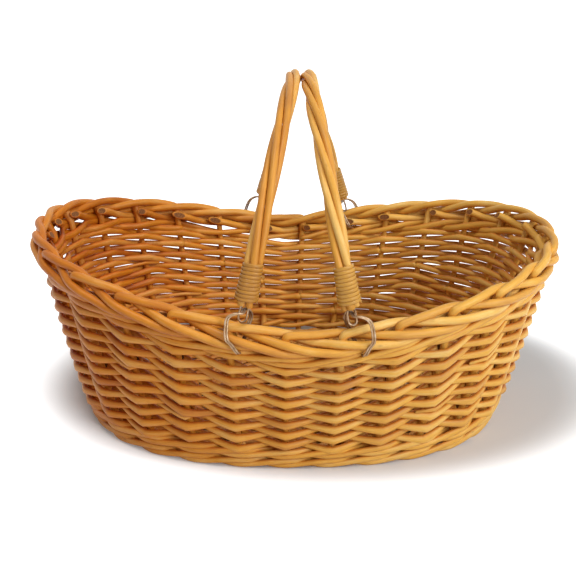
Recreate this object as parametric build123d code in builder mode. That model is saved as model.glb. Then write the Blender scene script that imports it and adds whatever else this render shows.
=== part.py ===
from build123d import *
import math
import os

os.makedirs("parts", exist_ok=True)

# Oval willow basket with two swing handles, in millimetres.
# X runs along the length, Y from front to back, Z up. The origin is under the middle of the base.

# Wall: the surface that the uprights stand in, from the base up to the border.
foot_half_length = 183.0
foot_half_width = 143.0
head_half_length = 233.0
head_half_width = 172.0
foot_fullness = 2.4
head_fullness = 2.2
flare_power = 0.78
wall_height = 129.0
wall_bend_height = 32.0
end_rise = 53.0
rise_power = 1.3
rise_growth = 1.15

# Clearance between pieces that lie against each other.
rub = 0.3

# Uprights: willow rods that stand in the wall and are turned down into the border.
upright_count = 28
upright_thickness = 6.0
upright_start = 4.0
upright_sides = 6
upright_lift = 2.2

# Rods of the wall.
weaver_thickness = 5.0
weaver_sides = 6
weaver_rows = 16
weaver_pitch = 5.15
foot_wale_thickness = 4.4
foot_wale_rows = 4
foot_wale_pitch = 4.7
foot_wale_lift = 0.4
head_wale_thickness = 3.3
head_wale_rows = 2
head_wale_pitch = 3.6
butt_gap = 2.4

# Border: how far each turned-down rod stands out from the uprights and above the border's foot.
border_height = 113.0
border_lean = 5.0
border_end_lean = 36.0
border_bend_in = 0.2
border_top = 16.6
border_crest_in = 1.8
border_crest = 17.2
border_in = 6.5
border_behind = 12.4
border_under_in = 0.4
border_under = 9.3
border_out = 6.7
border_front = 10.3
border_slope_out = 7.0
border_slope = 5.5
border_low_out = 6.7
border_low = 2.7
border_turn_out = 0.2
border_turn = 2.2
border_end_in = 7.0
border_end = 4.0

# Base: an oval of sticks, threaded through each other, and the weaving round them.
base_thickness = 12.0
cross_stick_thickness = 8.0
long_stick_thickness = 4.0
long_stick_pitch = 26.0
long_stick_count = 3
cross_stick_count = 7
stick_end_gap = 12.0
base_rim_gap = 0.3
base_corners = 56

# Handles: arches of four willow rods each, hinged on wire rings on the border.
grip_offset = 3.9
grip_skew = 4.8
arch_half_span = 166.0
hinge_height = 150.0
arch_height = 156.5
hinge_half_gap = 42.5
left_apex = -10.7
right_apex = 3.7
left_bow = 2.1
right_bow = -3.2
handle_rod_thickness = 6.0
handle_rod_count = 4
handle_rod_sides = 6
handle_steps = 19
handle_twist = 0.8
rod_end_lift = 5.4

# Cane bindings round the feet of the handles.
binding_turns = 14
binding_pitch = 2.33
binding_width = 1.6
binding_depth = 1.3
binding_lift = 9.0
binding_clearance = 0.5
binding_steps = 7

# Wire eyes on the handles and wire rings of two turns round the border.
wire_thickness = 1.7
wire_sides = 6
ring_turn_gap = 0.6
ring_top_half = 1.8
ring_shoulder = 4.5
ring_shoulder_drop = 3.0
ring_side_top = 13.5
ring_side_foot = 1.4
ring_foot_half = 6.8
eye_neck = 4.1
eye_hang = 9.5
eye_narrowing = 2.1
front_left_ring_share = 0.27
front_right_ring_share = 0.27
back_left_ring_share = 0.18
back_right_ring_share = -0.15


def unit(v):
    return v / v.length


def rise(x):
    """How much higher the rim is at x than in the middle."""
    return end_rise * (abs(x) / head_half_length) ** rise_power


def flare_point(turn, height):
    """A point on the smooth flare of the wall, by its turn and its height in the middle."""
    share = max(height, 0.0) / wall_height
    open_share = share**flare_power
    half_length = foot_half_length + (head_half_length - foot_half_length) * open_share
    half_width = foot_half_width + (head_half_width - foot_half_width) * open_share
    fullness = foot_fullness + (head_fullness - foot_fullness) * share
    c = math.cos(turn)
    s = math.sin(turn)
    reach = (abs(c) ** fullness + abs(s) ** fullness) ** (-1 / fullness)
    far_share = reach * abs(c)
    lift = rise(head_half_length * far_share) * share**rise_growth
    return Vector(half_length * reach * c, half_width * reach * s, height + lift)


def wall_point(turn, height):
    """A point on the wall, which runs straight from the foot to its bend and from there to the border."""
    if height > border_height:
        return flare_point(turn, height)
    low, high = (0, wall_bend_height) if height < wall_bend_height else (wall_bend_height, border_height)
    part_way = (height - low) / (high - low)
    return flare_point(turn, low) * (1 - part_way) + flare_point(turn, high) * part_way


def rim_turns(count, start):
    """Turns of evenly spaced points round the rim, the first one a start length past the +X end."""
    fine = 1440
    around = [wall_point(2 * math.pi * i / fine, wall_height) for i in range(fine + 1)]
    walked = [0.0]
    for a, b in zip(around[:-1], around[1:]):
        walked.append(walked[-1] + math.hypot(b.X - a.X, b.Y - a.Y))
    turns = []
    for k in range(count):
        goal = start + walked[-1] * (k + 1 / 2) / count
        i = max(j for j in range(fine) if walked[j] <= goal)
        part_way = (goal - walked[i]) / (walked[i + 1] - walked[i])
        turns.append(2 * math.pi * (i + part_way) / fine)
    return turns


turns = rim_turns(upright_count, upright_start)


def turn_at(place):
    """The turn at a place counted in uprights, going round more than once if need be."""
    lap, k = divmod(place, upright_count)
    i = int(k)
    after = turns[i + 1] if i + 1 < upright_count else turns[0] + 2 * math.pi
    return turns[i] + (after - turns[i]) * (k - i) + 2 * math.pi * lap


def wall_frame(place, height):
    """Point, outward direction and direction along the rows at a place on the wall."""
    turn = turn_at(place)
    step = 1 / 100
    at = wall_point(turn, height)
    along = unit(wall_point(turn + step, height) - wall_point(turn - step, height))
    up = wall_point(turn, height + upright_thickness) - at
    out = unit(along.cross(up))
    return at, out, along


def on_wall(place, height, offset):
    at, out, _ = wall_frame(place, height)
    return at + unit(Vector(out.X, out.Y, 0)) * offset


def leaned(at, offset, height):
    """Turn an offset and a height in the border's leaning section to level and upright ones."""
    far_share = abs(at.X) / head_half_length
    lean = math.radians(border_lean + (border_end_lean - border_lean) * far_share)
    outward = offset * math.cos(lean) + height * math.sin(lean)
    return outward, height * math.cos(lean) - offset * math.sin(lean)


def on_border(place, offset, height):
    """A point of the border's section: offset outward and height above the border's foot."""
    at, out, _ = wall_frame(place, border_height)
    outward, upward = leaned(at, offset, height)
    return at + unit(Vector(out.X, out.Y, 0)) * outward + Vector(0, 0, upward)


def lay_rod(route, thickness, sides, x_dir, across=0.0):
    """One rod along a route of straight runs with mitred bends, round or, given a width across, flat."""
    with BuildLine() as middle:
        Polyline(*route)
    with BuildSketch(Plane(origin=route[0], x_dir=x_dir, z_dir=route[1] - route[0])) as section:
        if across:
            Rectangle(thickness, across)
        else:
            RegularPolygon(radius=thickness / 2, side_count=sides)
    return sweep(
        sections=section.sketch,
        path=middle.wires()[0],
        transition=Transition.RIGHT,
        mode=Mode.PRIVATE,
    )


def wall_row(height, thickness, behind, first, count):
    """The route of one rod of the wall, out in front of some uprights and behind the others."""
    contact = (upright_thickness + thickness) / 2 + rub
    places = list(range(first - 1, first + count + 2))
    loose = [on_wall(k, height, -contact if behind(k) else contact) for k in places]
    route = []
    for i in range(1, count + 2):
        k = places[i]
        _, out, along = wall_frame(k, height)
        slant = max(along.get_angle(loose[i] - loose[i - 1]), along.get_angle(loose[i + 1] - loose[i]))
        reach = contact / math.cos(math.radians(slant)) / math.hypot(out.X, out.Y)
        place = k
        if k in (first, first + count):
            run = (on_wall(k + 1, height, 0) - on_wall(k, height, 0)).length
            place = k + (butt_gap / 2 / run) * (1 if k == first else -1)
        route.append(on_wall(place, height, -reach if behind(k) else reach))
    return route


up_dir = Vector(0, 0, 1)

# Each upright is turned down to the right at the border: behind one neighbour, out in front of the
# next two and in again behind the fourth. Places are counted in uprights from its own.
border_path = [
    (0.5, -border_crest_in, border_crest),
    (1.0, -border_in, border_behind),
    (1.5, -border_under_in, border_under),
    (2.0, border_out, border_front),
    (2.5, border_slope_out, border_slope),
    (3.0, border_low_out, border_low),
    (3.5, border_turn_out, border_turn),
    (4.05, -border_end_in, border_end),
]


def upright_route(k):
    """An upright and its run in the border."""
    route = [on_wall(k, upright_lift, 0), on_wall(k, wall_bend_height, 0), on_border(k, 0, 0)]
    route.append(on_border(k, 0, border_top - upright_thickness / 2))
    route.append(on_border(k + 0.09, -border_bend_in, border_top))
    for place, offset, height in border_path:
        route.append(on_border(k + place, offset, height))
    return route


# The base lies inside the rods that pass behind the uprights' feet.
stick_level = base_thickness / 2
base_edge_gap = upright_thickness / 2 + rub + foot_wale_thickness + base_rim_gap


def base_reach(place):
    """A point on the rim of the woven base."""
    at, out, _ = wall_frame(place, foot_wale_lift)
    return at - unit(Vector(out.X, out.Y, 0)) * base_edge_gap


def base_half_width(x):
    half_length = foot_half_length - base_edge_gap
    half_width = foot_half_width - base_edge_gap
    return half_width * (1 - (abs(x) / half_length) ** foot_fullness) ** (1 / foot_fullness)


def base_half_length(y):
    half_length = foot_half_length - base_edge_gap
    half_width = foot_half_width - base_edge_gap
    return half_length * (1 - (abs(y) / half_width) ** foot_fullness) ** (1 / foot_fullness)


cross_pitch = (foot_half_length * 2) / (cross_stick_count + 3)
cross_places = [(k - (cross_stick_count - 1) / 2) * cross_pitch for k in range(cross_stick_count)]
long_places = [(k - (long_stick_count - 1) / 2) * long_stick_pitch for k in range(long_stick_count)]


# Handles. Each arch stands on a hinge line that runs from front to back, a little askew.
hinge_dir = Vector(math.sin(math.radians(grip_skew)), math.cos(math.radians(grip_skew)), 0)
side_dir = Vector(math.cos(math.radians(grip_skew)), -math.sin(math.radians(grip_skew)), 0)
grip_middle = Vector(grip_offset, 0, 0)


def in_grip(x, y, z):
    return grip_middle + side_dir * x + hinge_dir * y + Vector(0, 0, z)


def arch_point(side, angle):
    """Middle of the bundle at an angle of the arch, 0 at the front foot and pi at the back one."""
    foot = side * hinge_half_gap
    apex = right_apex if side > 0 else left_apex
    bow = right_bow if side > 0 else left_bow
    x = foot + (apex - foot) * math.sin(angle) - bow * math.sin(2 * angle)
    return in_grip(x, -arch_half_span * math.cos(angle), hinge_height + arch_height * math.sin(angle))


def arch_angle(side, length):
    """The angle at a length along the arch from its front foot."""
    steps = 2000
    walked = 0.0
    last = arch_point(side, 0.0)
    for i in range(1, steps + 1):
        at = arch_point(side, math.pi * i / steps)
        walked += (at - last).length
        if walked >= length:
            return math.pi * i / steps
        last = at
    return math.pi


def arch_length(side):
    return sum(
        (arch_point(side, math.pi * (i + 1) / 400) - arch_point(side, math.pi * i / 400)).length
        for i in range(400)
    )


def arch_frame(side, angle):
    step = 1 / 500
    tangent = unit(arch_point(side, angle + step) - arch_point(side, angle - step))
    first = unit(side_dir - tangent * side_dir.dot(tangent))
    return arch_point(side, angle), tangent, first, tangent.cross(first)


rod_ring = (handle_rod_thickness + rub) / math.sqrt(2)
bundle_half = rod_ring + handle_rod_thickness / 2


def handle_route(side, j):
    whole = arch_length(side)
    route = []
    for i in range(handle_steps + 1):
        length = rod_end_lift + (whole - 2 * rod_end_lift) * i / handle_steps
        angle = arch_angle(side, length)
        at, _, first, second = arch_frame(side, angle)
        spin = 2 * math.pi * (j / handle_rod_count + handle_twist * (i / handle_steps - 1 / 2))
        spin += math.pi / 4
        route.append(at + first * (rod_ring * math.cos(spin)) + second * (rod_ring * math.sin(spin)))
    return route


def binding_route(side, foot):
    """A flat strip wound round the bundle, upward from its foot."""
    whole = arch_length(side)
    route = []
    radius = (bundle_half + binding_clearance + binding_depth / 2) / math.cos(math.pi / binding_steps)
    for i in range(binding_turns * binding_steps + 1):
        length = binding_lift + binding_width / 2 + binding_pitch * i / binding_steps
        angle = arch_angle(side, length if foot == 0 else whole - length)
        at, _, first, second = arch_frame(side, angle)
        spin = 2 * math.pi * i / binding_steps
        route.append(at + first * (radius * math.cos(spin)) + second * (radius * math.sin(spin)))
    return route


def least_gap(route, width, steps):
    """Least clear gap between a turn and the next, on points two thirds of a turn or more apart."""
    apart = math.ceil(steps * 2 / 3)
    return min(
        (a - b).length - width
        for i, a in enumerate(route)
        for b in route[i + apart:]
    )


def nearest_upright(x, back):
    """The upright of the front or the back that stands nearest to x."""
    facing = [k for k in range(upright_count) if (on_border(k, 0, 0).Y > 0) == bool(back)]
    return min(facing, key=lambda k: abs(on_border(k, 0, 0).X - x))


def ring_route(side, foot, beside_share):
    """Two turns of wire round the border, beside an upright, with the handle's eye at their top."""
    top = arch_point(side, math.pi * foot)
    place = nearest_upright(top.X, foot) + beside_share
    at, out, _ = wall_frame(place, border_height)
    level = unit(Vector(out.X, out.Y, 0))
    along = Vector(0, 0, 1).cross(level)
    out_top = (top - at).dot(level)
    along_top = (top - at).dot(along)
    high = top.Z - at.Z
    low = border_turn - (upright_thickness + wire_thickness) / 2 - rub
    inner = border_end_in + (upright_thickness + wire_thickness) / 2 + rub
    outer = border_slope_out + (upright_thickness + wire_thickness) / 2 + rub
    turn = [
        leaned(at, -ring_foot_half, low),
        leaned(at, -inner, ring_side_foot),
        leaned(at, -inner, ring_side_top),
        (out_top - ring_shoulder, high - ring_shoulder_drop),
        (out_top - ring_top_half, high),
        (out_top + ring_top_half, high),
        (out_top + ring_shoulder, high - ring_shoulder_drop),
        leaned(at, outer, ring_side_top),
        leaned(at, outer, ring_side_foot),
        leaned(at, ring_foot_half, low),
    ]
    half_pitch = (wire_thickness + ring_turn_gap) / 2
    route = []
    for lap in (-1, 1):
        for offset, height in turn:
            lean = along_top * (height - low) / (high - low)
            route.append(at + level * offset + Vector(0, 0, height) + along * (lean + lap * half_pitch))
    return route


def eye_route(side, foot):
    """A wire with its shank among the handle's rods and its eye round the ring's top."""
    whole = arch_length(side)
    hinge = arch_point(side, math.pi * foot)

    def up_leg(length):
        return arch_point(side, arch_angle(side, length if foot == 0 else whole - length))

    leg = unit(up_leg(rod_end_lift) - hinge)
    across = unit(leg.cross(hinge_dir))
    half = wire_thickness + (wire_thickness + ring_turn_gap) / 2 + rub
    route = [up_leg(rod_end_lift + (whole - 2 * rod_end_lift) / handle_steps)]
    for b, a in [
        (0, eye_neck),
        (-half, half / 2),
        (-half, eye_narrowing - eye_hang),
        (eye_narrowing - half, -eye_hang),
        (half - eye_narrowing, -eye_hang),
        (half, eye_narrowing - eye_hang),
        (half, half / 2),
        (half - wire_thickness * 0.6, half * 0.75),
    ]:
        route.append(hinge + across * b + leg * a)
    return route


# Pieces.
with BuildPart() as cross_sticks:
    for x in cross_places:
        half = base_half_width(x) - stick_end_gap
        with BuildSketch(Plane(origin=(x, -half, stick_level), x_dir=(1, 0, 0), z_dir=(0, 1, 0))):
            RegularPolygon(radius=cross_stick_thickness / 2, side_count=6)
        extrude(amount=2 * half)
    with BuildSketch(Plane.YZ.offset(-foot_half_length)):
        with Locations(*[(y, stick_level) for y in long_places]):
            Rectangle(long_stick_thickness + 2 * rub, long_stick_thickness + 2 * rub)
    extrude(amount=2 * foot_half_length, mode=Mode.SUBTRACT)
cross_sticks.part.label = "cross_sticks"
export_step(cross_sticks.part, "parts/cross_sticks.step")

with BuildPart() as long_sticks:
    for y in long_places:
        half = base_half_length(y) - stick_end_gap
        with BuildSketch(Plane(origin=(-half, y, stick_level), x_dir=(0, 1, 0), z_dir=(1, 0, 0))):
            RegularPolygon(radius=long_stick_thickness / 2, side_count=8)
        extrude(amount=2 * half)
long_sticks.part.label = "long_sticks"
export_step(long_sticks.part, "parts/long_sticks.step")

# Woven base: one oval mat round the sticks, with a hole for each of them.
with BuildPart() as base_mat:
    with BuildSketch(Plane.XY):
        with BuildLine():
            Polyline(*[
                (p.X, p.Y)
                for p in [base_reach(upright_count * k / base_corners) for k in range(base_corners)]
            ], close=True)
        make_face()
    extrude(amount=base_thickness)
    for x in cross_places:
        half = base_half_width(x) - stick_end_gap + rub
        with Locations((x, 0, stick_level)):
            Box(cross_stick_thickness + 2 * rub, 2 * half, cross_stick_thickness + 2 * rub,
                mode=Mode.SUBTRACT)
    for y in long_places:
        half = base_half_length(y) - stick_end_gap + rub
        with Locations((0, y, stick_level)):
            Box(2 * half, long_stick_thickness + 2 * rub, long_stick_thickness + 2 * rub,
                mode=Mode.SUBTRACT)
base_mat.part.label = "base_mat"
export_step(base_mat.part, "parts/base_mat.step")

# Uprights: one node of rods that make both the wall's stakes and the border.
with BuildPart() as upright_rods:
    laid = []
    for k in range(upright_count):
        laid.append(lay_rod(upright_route(k), upright_thickness, upright_sides, up_dir))
    add(laid)
upright_rods.part.label = "upright_rods"
export_step(upright_rods.part, "parts/upright_rods.step")


def three_rod(row):
    return lambda k: (k - row) % 3 == 0


# Wale at the foot of the wall: rows in front of two uprights and behind one.
for row in range(foot_wale_rows):
    height = foot_wale_lift + foot_wale_thickness / 2 + foot_wale_pitch * row
    start = upright_count // 4 - 1 + row
    behind = lambda k, start=start: (k - start) % upright_count % 3 == 0
    with BuildPart() as wale:
        add(lay_rod(wall_row(height, foot_wale_thickness, behind, start, upright_count),
                    foot_wale_thickness, weaver_sides, up_dir))
    name = f"foot_wale_{row + 1}"
    wale.part.label = name
    export_step(wale.part, f"parts/{name}.step")

# Randing: rows in front of one upright and behind the next, each of two rods butted behind uprights.
randing_foot = foot_wale_lift + foot_wale_pitch * foot_wale_rows
for row in range(weaver_rows):
    height = randing_foot + weaver_pitch * (row + 1 / 2)
    start = (5 * row) % upright_count
    if (start + row) % 2:
        start += 1
    behind = lambda k, row=row: (k + row) % 2 == 0
    half_way = upright_count // 2
    with BuildPart() as weaver:
        add([
            lay_rod(wall_row(height, weaver_thickness, behind, first, half_way),
                    weaver_thickness, weaver_sides, up_dir)
            for first in (start, start + half_way)
        ])
    name = f"weaver_row_{row + 1:02d}"
    weaver.part.label = name
    export_step(weaver.part, f"parts/{name}.step")

# Wale under the border, of thinner rods.
head_wale_top = randing_foot + weaver_pitch * weaver_rows
for row in range(head_wale_rows):
    height = head_wale_top + head_wale_pitch * (row + 1 / 2)
    start = upright_count // 4 + 2 + row
    behind = lambda k, start=start: (k - start) % upright_count % 3 == 0
    with BuildPart() as wale:
        add(lay_rod(wall_row(height, head_wale_thickness, behind, start, upright_count),
                    head_wale_thickness, weaver_sides, up_dir))
    name = f"head_wale_{row + 1}"
    wale.part.label = name
    export_step(wale.part, f"parts/{name}.step")

ring_names = {(-1, 0): "front_left", (1, 0): "front_right", (-1, 1): "back_left", (1, 1): "back_right"}
handle_names = {-1: "left", 1: "right"}

for side in (-1, 1):
    with BuildPart() as handle:
        add([
            lay_rod(handle_route(side, j), handle_rod_thickness, handle_rod_sides, side_dir)
            for j in range(handle_rod_count)
        ])
    name = f"{handle_names[side]}_handle_rods"
    handle.part.label = name
    export_step(handle.part, f"parts/{name}.step")

for (side, foot), corner in ring_names.items():
    route = binding_route(side, foot)
    print(corner, "binding turns", binding_turns,
          "least gap", round(least_gap(route, binding_width, binding_steps), 2))
    start_out = unit(route[0] - arch_point(side, arch_angle(
        side, binding_lift if foot == 0 else arch_length(side) - binding_lift)))
    with BuildPart() as binding:
        add(lay_rod(route, binding_depth, 4, start_out, across=binding_width))
    name = f"{corner}_binding"
    binding.part.label = name
    export_step(binding.part, f"parts/{name}.step")

# Wire rings on the border and the eyes that hang the handles on them.
ring_shares = {
    "front_left": front_left_ring_share,
    "front_right": front_right_ring_share,
    "back_left": back_left_ring_share,
    "back_right": back_right_ring_share,
}
for (side, foot), corner in ring_names.items():
    with BuildPart() as ring:
        add(lay_rod(ring_route(side, foot, ring_shares[corner]), wire_thickness, wire_sides, hinge_dir))
    name = f"{corner}_ring"
    ring.part.label = name
    export_step(ring.part, f"parts/{name}.step")

    with BuildPart() as eye:
        add(lay_rod(eye_route(side, foot), wire_thickness, wire_sides, hinge_dir))
    name = f"{corner}_eye"
    eye.part.label = name
    export_step(eye.part, f"parts/{name}.step")
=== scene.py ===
"""Wicker storage basket: the looks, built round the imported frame.

Lengths are in millimetres until a mesh is made. A place is a position round the wall, counted in
uprights. A height is measured at the middle of a long side: the wall lifts it towards the ends.
"""

import math

import bpy
import numpy as np
from mathutils import Matrix, Vector


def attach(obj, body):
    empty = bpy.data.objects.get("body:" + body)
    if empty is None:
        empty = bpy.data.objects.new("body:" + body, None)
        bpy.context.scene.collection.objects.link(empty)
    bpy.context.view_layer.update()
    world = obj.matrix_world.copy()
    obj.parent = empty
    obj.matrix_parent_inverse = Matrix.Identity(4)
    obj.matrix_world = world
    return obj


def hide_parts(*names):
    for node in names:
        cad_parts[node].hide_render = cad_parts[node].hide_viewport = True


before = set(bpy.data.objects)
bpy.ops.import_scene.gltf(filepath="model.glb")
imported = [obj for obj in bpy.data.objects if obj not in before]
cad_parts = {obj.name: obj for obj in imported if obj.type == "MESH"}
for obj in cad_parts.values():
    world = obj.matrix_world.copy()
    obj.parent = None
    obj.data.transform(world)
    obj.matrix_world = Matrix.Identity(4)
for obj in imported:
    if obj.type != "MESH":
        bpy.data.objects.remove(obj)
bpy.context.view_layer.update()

MM = 0.001
WHOLE_TURN = 2 * math.pi
UP = np.array([0.0, 0.0, 1.0])
RUB = 0.3  # clear gap between a wire or a handle rod and its neighbour
TOUCH = 0.05  # clear gap where two rods of the wall cross

# Wall: an oval that opens and rises towards its ends.
FOOT = (183.0, 143.0, 2.4)  # half length, half width and fullness of the oval
HEAD = (233.0, 172.0, 2.2)
FLARE_POWER = 0.78
WALL_HEIGHT = 129.0
END_RISE = 53.0
RISE_POWER = 1.3
RISE_GROWTH = 1.15

UPRIGHTS = 28
UPRIGHT_START = 4.0
UPRIGHT_RADIUS = 3.0
UPRIGHT_PITCH = 43.0  # from one upright to the next along the rim, nearly
BORDER_SWELL = 0.62  # how much thicker the rods are in the border, in their radius
BORDER_HEIGHT = 113.0
BORDER_LEAN = 5.0
BORDER_END_LEAN = 36.0
BORDER_LOW = 2.2
BORDER_DEPTH = 7.0

WEAVER_ROWS = 16
WEAVER_PITCH = 5.15
WEAVER_RADIUS = 2.7
WEAVER_DIP = 2.9
WEAVER_GAP = 1.3
FOOT_ROWS = 4
FOOT_PITCH = 4.7
FOOT_LIFT = 0.4
FOOT_WALE_THICKNESS = 4.7
FOOT_WALE_CLIMB = 9.6
HEAD_WALE_THICKNESS = 5.1
WALE_RUN = 27  # places that a rod of a wale passes, which are nine times three
RANDING_FOOT = FOOT_LIFT + FOOT_PITCH * FOOT_ROWS
RANDING_HEIGHT = WEAVER_PITCH * WEAVER_ROWS + 1.6

# Base.
BASE = (FOOT[0] - 8.0, FOOT[1] - 8.0, FOOT[2])
STICK_LEVEL = 6.0
CROSS_STICKS = [(k - 3) * FOOT[0] * 2 / 10 for k in range(7)]
LONG_STICKS = [-26.0, 0.0, 26.0]
STICK_END_GAP = 1.5
BASE_ROUNDS = 27
BASE_PITCH = 4.85
BASE_FIRST_INSET = 3.4
BASE_WAVE = 4.1

# Handles. The keys are the side, -1 on the left and 1 on the right.
GRIP_OFFSET = 3.9
GRIP_SKEW = math.radians(4.8)
ARCH_HALF_SPAN = 166.0
HINGE_HEIGHT = 150.0
ARCH_HEIGHT = 156.5
HINGE_HALF_GAP = 42.5
APEX = {-1: -10.7, 1: 3.7}
BOW = {-1: 2.1, 1: -3.2}
HANDLE_RADIUS = 3.0
HANDLE_RODS = 4
HANDLE_TWIST = {-1: -1.5, 1: -2.3}
ROD_END_LIFT = 5.4
ROD_RING = (2 * HANDLE_RADIUS + RUB) / math.sqrt(2)
BINDING_STRIPS = 10.4
BINDING_FOOT = 5.7
BINDING_LENGTH = 34.0
BINDING_WIDTH = 3.15
BINDING_HALF_DEPTH = 0.85
WIRE = 1.7
RING_GAP = 0.6
RING_FOOT_HALF = 6.8

rng = np.random.default_rng(731)


# ---- wall ----


def flare(turn, height):
    """Points on the wall by their turn and their height."""
    turn = np.asarray(turn, float)
    share = np.clip(np.asarray(height, float), 0, None) / WALL_HEIGHT
    opened = share**FLARE_POWER
    half_length = FOOT[0] + (HEAD[0] - FOOT[0]) * opened
    half_width = FOOT[1] + (HEAD[1] - FOOT[1]) * opened
    fullness = FOOT[2] + (HEAD[2] - FOOT[2]) * share
    c, s = np.cos(turn), np.sin(turn)
    reach = (np.abs(c) ** fullness + np.abs(s) ** fullness) ** (-1 / fullness)
    lift = END_RISE * (reach * np.abs(c)) ** RISE_POWER * share**RISE_GROWTH
    return np.stack([half_length * reach * c, half_width * reach * s, height + lift], -1)


def walk(points):
    """How far along a line each of its points lies."""
    return np.concatenate([[0], np.cumsum(np.linalg.norm(np.diff(points, axis=0), axis=1))])


def rim_turns():
    """Turns of the uprights, which stand evenly along the rim."""
    steps = 1441
    fine = np.linspace(0, WHOLE_TURN, steps)
    walked = walk(flare(fine, np.full(steps, WALL_HEIGHT))[:, :2])
    goals = UPRIGHT_START + walked[-1] * (np.arange(UPRIGHTS) + 0.5) / UPRIGHTS
    return np.interp(goals, walked, fine)


TURNS = rim_turns()
TURN_TABLE = np.concatenate([TURNS + WHOLE_TURN * lap for lap in (-1, 0, 1, 2)])
PLACE_TABLE = np.arange(-UPRIGHTS, 3 * UPRIGHTS)


def turn_at(place):
    return np.interp(place, PLACE_TABLE, TURN_TABLE)


def wall_frame(place, height):
    """Points, level outward directions and directions along the rows."""
    place, height = np.broadcast_arrays(np.asarray(place, float), np.asarray(height, float))
    turn = turn_at(place)
    at = flare(turn, height)
    along = flare(turn + 0.01, height) - flare(turn - 0.01, height)
    along /= np.linalg.norm(along, axis=-1, keepdims=True)
    out = np.cross(along, flare(turn, height + 6) - at) * [1, 1, 0]
    return at, out / np.linalg.norm(out, axis=-1, keepdims=True), along


def on_wall(place, height, offset):
    at, out, _ = wall_frame(place, height)
    return at + out * np.asarray(offset, float)[..., None]


def lean_at(x):
    return np.radians(BORDER_LEAN + (BORDER_END_LEAN - BORDER_LEAN) * np.abs(x) / HEAD[0])


def on_border(place, offset, height):
    """Points of the border's section, which leans out more at the ends."""
    place = np.asarray(place, float)
    offset = np.asarray(offset, float)
    height = np.asarray(height, float)
    at, out, _ = wall_frame(place, BORDER_HEIGHT)
    lean = lean_at(at[..., 0])
    outward = offset * np.cos(lean) + height * np.sin(lean)
    upward = height * np.cos(lean) - offset * np.sin(lean)
    return at + out * outward[..., None] + UP * upward[..., None]


# ---- curves and tubes ----


def catmull(points, steps):
    """A smooth curve through points of any number of values."""
    p = np.asarray(points, float)
    p = np.vstack([2 * p[0] - p[1], p, 2 * p[-1] - p[-2]])
    t = np.linspace(0, 1, steps, endpoint=False)[:, None]
    runs = []
    for i in range(1, len(p) - 2):
        a, b, c, d = p[i - 1], p[i], p[i + 1], p[i + 2]
        square = (2 * a - 5 * b + 4 * c - d) * t**2
        cube = (3 * b - a - 3 * c + d) * t**3
        runs.append(0.5 * (2 * b + (c - a) * t + square + cube))
    runs.append(p[-2][None])
    return np.vstack(runs)


def ease(t):
    """From 0 to 1 with a soft start and end."""
    return t * t * (3 - 2 * t)


def wander(n, scale, waves=(1.3, 2.9, 5.3)):
    """Slow seeded unevenness along a rod of n points, up to about scale."""
    t = np.linspace(0, 1, n)
    total = np.zeros(n)
    for w in waves:
        phase = w * t * max(1.0, n / 150) + rng.random()
        total += np.sin(WHOLE_TURN * phase) * rng.uniform(0.4, 1.0)
    return total * scale / len(waves) * 1.3


def across_directions(step, facing):
    """Unit directions across a rod: towards facing, or carried along it without a twist."""
    if facing is not None:
        first = facing - step * np.sum(facing * step, axis=1, keepdims=True)
        return first / np.linalg.norm(first, axis=1, keepdims=True)
    first = np.zeros(step.shape)
    side = np.cross(step[0], UP)
    if np.linalg.norm(side) < 0.1:
        side = np.cross(step[0], [0.0, 1.0, 0.0])
    first[0] = side / np.linalg.norm(side)
    for i in range(1, len(step)):
        v = first[i - 1] - step[i] * np.dot(first[i - 1], step[i])
        first[i] = v / np.linalg.norm(v)
    return first


def upright_facing(path):
    """Directions that stand level and square to a path."""
    return np.cross(np.gradient(path, axis=0), UP)


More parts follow.
